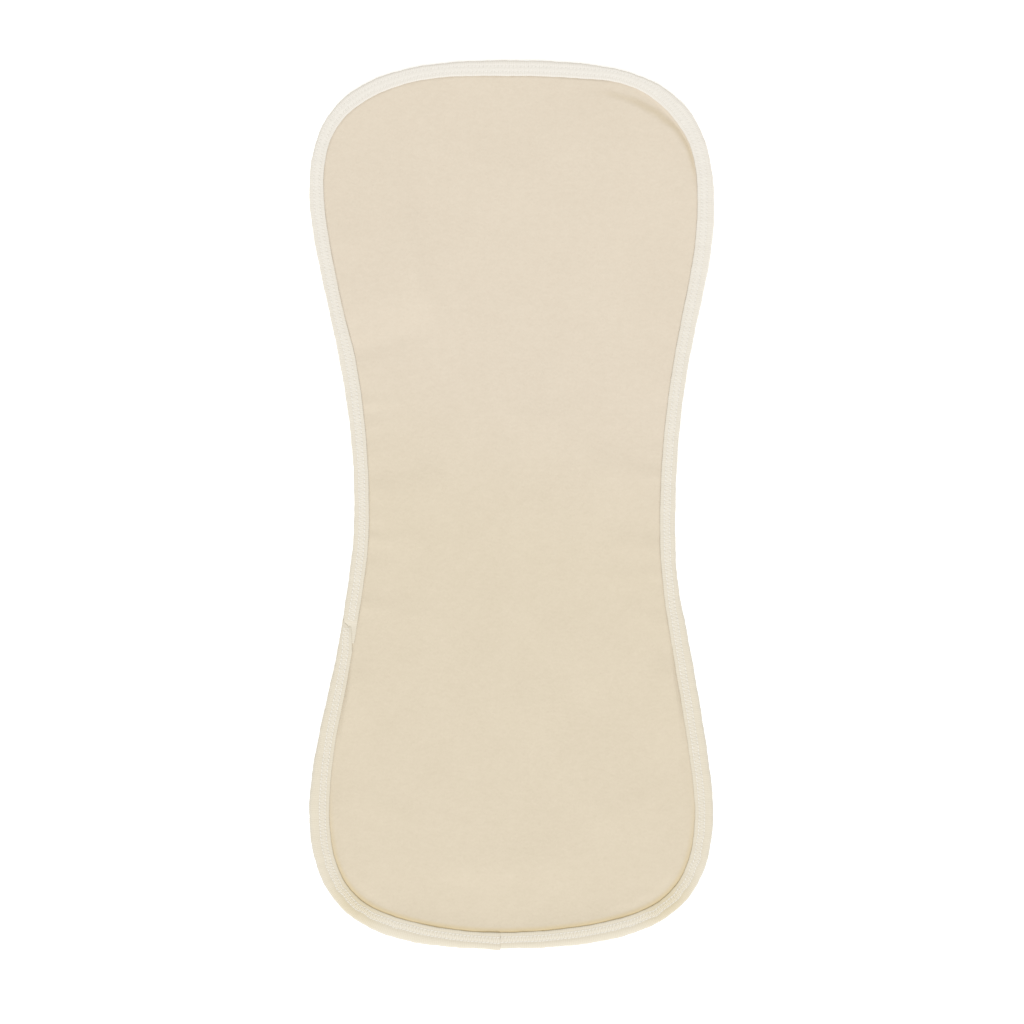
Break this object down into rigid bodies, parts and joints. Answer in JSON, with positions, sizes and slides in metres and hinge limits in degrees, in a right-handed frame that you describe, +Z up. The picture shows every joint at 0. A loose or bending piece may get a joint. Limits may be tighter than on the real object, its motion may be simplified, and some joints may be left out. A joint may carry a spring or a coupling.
{
  "type": "burp cloth",
  "caption": "Contoured burp cloth lying flat: an hourglass panel of soft layered knit with a narrow rib-knit binding folded round its whole edge.",
  "frame": {"origin": "middle of the cloth's outline on the surface it lies on", "axes": "+Z up out of the face that shows, +Y along the length towards the end with the pulled corner at its right, +X to the right"},
  "size_m": [0.2314, 0.508, 0.0044],
  "materials": {
    "panel_knit": "brushed soft knit, matt, warm beige",
    "binding_rib": "fine rib knit, matt, cream",
    "sewing_thread": "spun thread, soft sheen, cream"
  },
  "bodies": {
    "root": {"panel": "panel_knit", "binding_long": "binding_rib", "binding_short": "binding_rib"}
  },
  "joints": []
}
